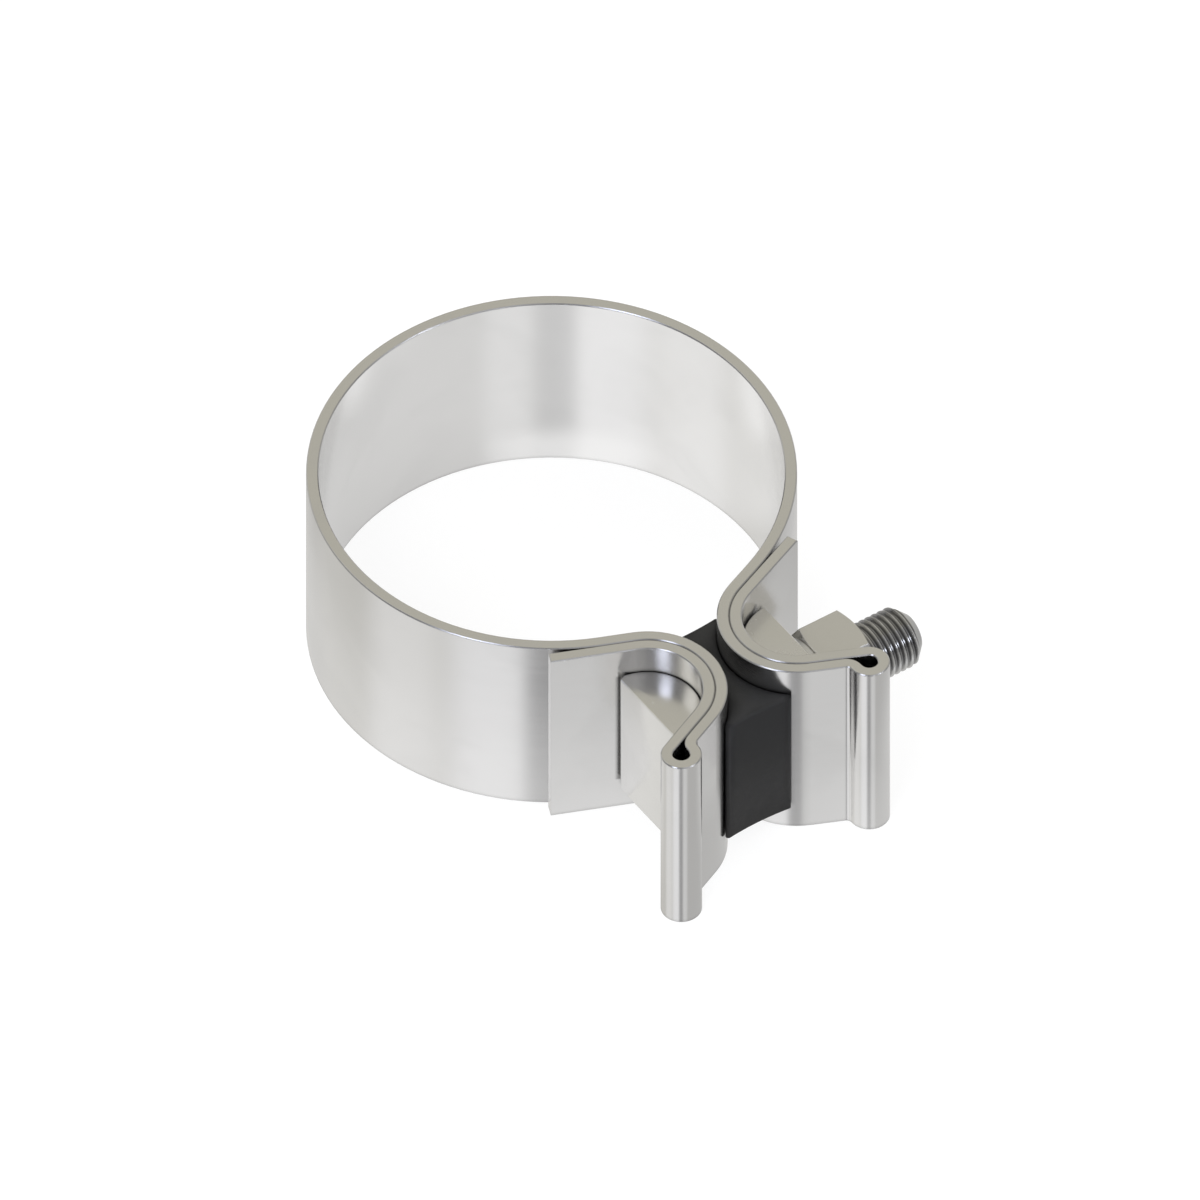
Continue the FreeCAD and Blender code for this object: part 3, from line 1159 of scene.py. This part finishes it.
@dataclass
class Studio:
    """Plain white studio: a pale floor, a soft room and three soft lamps.

    Attributes:
        floor_level: height of the floor.
        foot_radius: radius of the ring's foot, round which the floor is a little brighter.
        floor_size: width of the floor.
        upper_colour: colour of the room above the horizon, as metal shows it.
        lower_colour: colour of the room below the horizon, as metal shows it.
    """

    floor_level: float
    foot_radius: float
    floor_size: float = 6.0
    upper_colour: Colour = (0.21, 0.21, 0.215)
    lower_colour: Colour = (0.60, 0.595, 0.585)

    def build(self) -> None:
        """Set up the floor, the world and the lamps."""
        self._floor()
        self._world()
        for lamp in LAMPS:
            self._lamp(*lamp)

    def _floor(self) -> None:
        """Lay the floor, which is white to the eye and keeps a faint shadow.

        Metal sees through it into the pale room, but for a brighter band round the ring's foot
        and the pools of light.
        """
        half = self.floor_size / 2
        corners = np.array([[-1, -1, 0], [1, -1, 0], [1, 1, 0], [-1, 1, 0]]) * half
        corners = corners + np.array([0.0, 0.0, self.floor_level])
        floor = new_piece("floor", corners, np.array([[0, 1, 2, 3]]), smooth=False)
        material = bpy.data.materials.new("pale_floor")
        canvas = clear_canvas(material)
        seen = canvas.add("ShaderNodeLightPath").outputs
        matt, shadow = (
            canvas.add("ShaderNodeBsdfDiffuse", {"Color": grey}).outputs[0]
            for grey in (FLOOR_GREY, SHADOW_GREY)
        )
        white, glow = (
            canvas.add("ShaderNodeEmission", {"Strength": strength}).outputs[0]
            for strength in (EYE_WHITE, POOL_GLOW)
        )
        to_eye = canvas.add("ShaderNodeAddShader", {0: shadow, 1: white}).outputs[0]
        clear = canvas.add("ShaderNodeBsdfTransparent").outputs[0]
        light = self._floor_light(canvas)
        kind = "ShaderNodeMixShader"
        shown = canvas.add(kind, {0: light, 1: clear, 2: glow}).outputs[0]
        shown = canvas.add(kind, {0: seen["Is Glossy Ray"], 1: matt, 2: shown}).outputs[0]
        shown = canvas.add(kind, {0: seen["Is Camera Ray"], 1: shown, 2: to_eye}).outputs[0]
        canvas.add("ShaderNodeOutputMaterial", {"Surface": shown})
        floor.data.materials.append(material)

    def _floor_light(self, canvas: Canvas) -> bpy.types.NodeSocket:
        """Mask of the light on the floor: the greatest of the foot's band and the pools.

        Args:
            canvas: canvas of the floor's material.

        Returns:
            The mask.
        """
        spot = canvas.add("ShaderNodeTexCoord").outputs["Object"]
        from_axis = canvas.compare("DISTANCE", spot, (0.0, 0.0, self.floor_level))
        away = canvas.math("SUBTRACT", from_axis, self.foot_radius)
        off_foot = canvas.math("ABSOLUTE", away)
        outside = canvas.spread(away, *OUTER_GROUND)
        inside = canvas.math("SUBTRACT", 1.0, outside)
        close = canvas.spread(off_foot, *CLOSE_GROUND)
        grounds = {
            Ground.INSIDE_RING: inside,
            Ground.BY_FOOT: canvas.math("MULTIPLY", inside, close),
            Ground.OUTSIDE_RING: outside,
        }
        light = canvas.spread(off_foot, *FOOT_BAND)
        for pool in LIGHT_POOLS:
            gap = canvas.compare("DISTANCE", spot, (pool.x, pool.y, self.floor_level))
            cover = canvas.spread(gap, (pool.core, pool.share), (pool.reach, 0.0))
            kept = canvas.math("MULTIPLY", cover, grounds[pool.ground])
            light = canvas.math("MAXIMUM", light, kept)
        return light

    def _world(self) -> None:
        """Fill the room with soft light: white to the eye, pale below and greyer above."""
        world = bpy.data.worlds.new("soft_room")
        bpy.context.scene.world = world
        canvas = clear_canvas(world)
        way = canvas.add("ShaderNodeTexCoord").outputs["Generated"]
        height = canvas.compare("DOT_PRODUCT", way, UP)
        above = canvas.spread(height, *HORIZON)
        room = canvas.blend(above, self.lower_colour, self.upper_colour)
        for patch in ROOM_PATCHES:
            room = patch.lay(canvas, way, room)
        seen = canvas.add("ShaderNodeLightPath").outputs
        first = canvas.math("LESS_THAN", seen["Glossy Depth"], 1.5)
        for patch in GLINT_PATCHES:
            room = patch.lay(canvas, way, room, kept=first)
        colour = canvas.blend(seen["Is Camera Ray"], room, (1.0, 1.0, 1.0))
        light = canvas.add("ShaderNodeBackground", {"Color": colour})
        canvas.add("ShaderNodeOutputWorld", {"Surface": light.outputs[0]})

    @staticmethod
    def _lamp(name: str, place: Point, size: float, power: float) -> None:
        """Hang a square soft lamp that faces the object and that metal doesn't show.

        Args:
            name: name of the lamp.
            place: where it hangs.
            size: width of its face.
            power: light given off, in watts.
        """
        data = bpy.data.lights.new(name, "AREA")
        data.shape = "SQUARE"
        data.size = size
        data.energy = power
        lamp = bpy.data.objects.new(name, data)
        bpy.context.scene.collection.objects.link(lamp)
        facing = Vector(place).to_track_quat("Z", "Y").to_matrix().to_4x4()
        lamp.matrix_world = Matrix.Translation(Vector(place)) @ facing
        lamp.visible_glossy = False


def main() -> None:
    """Load the solids, set up the studio, dress the solids and make the other pieces."""
    logging.basicConfig(level=logging.INFO, format="%(name)s: %(message)s")
    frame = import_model()
    low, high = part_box("band")
    bpy.context.scene.view_settings.view_transform = "Standard"
    PhotoCamera().place(Vector((0.0, 0.0, high.z)))
    Studio(floor_level=low.z - 0.05 * MM, foot_radius=high.y).build()

    groups = ShaderGroups()
    strip, bar, thread, washer, nut, spacer = (finish.build(groups) for finish in FINISHES)
    dressed = {"band": strip, "saddle_bar": bar, "thick_washer": washer, "hex_nut": nut}
    for piece in DressedSolids(frame["nodes"]).dress(dressed):
        LOG.info("dressed %s", piece.name)
    made = TBolt.from_solids().build(bar, thread)
    made.append(Spacer().build(frame["nodes"]["lug_spacer"], spacer))
    for piece in made:
        LOG.info("made %s with %d faces", piece.name, len(piece.data.polygons))


if __name__ == "__main__":
    main()
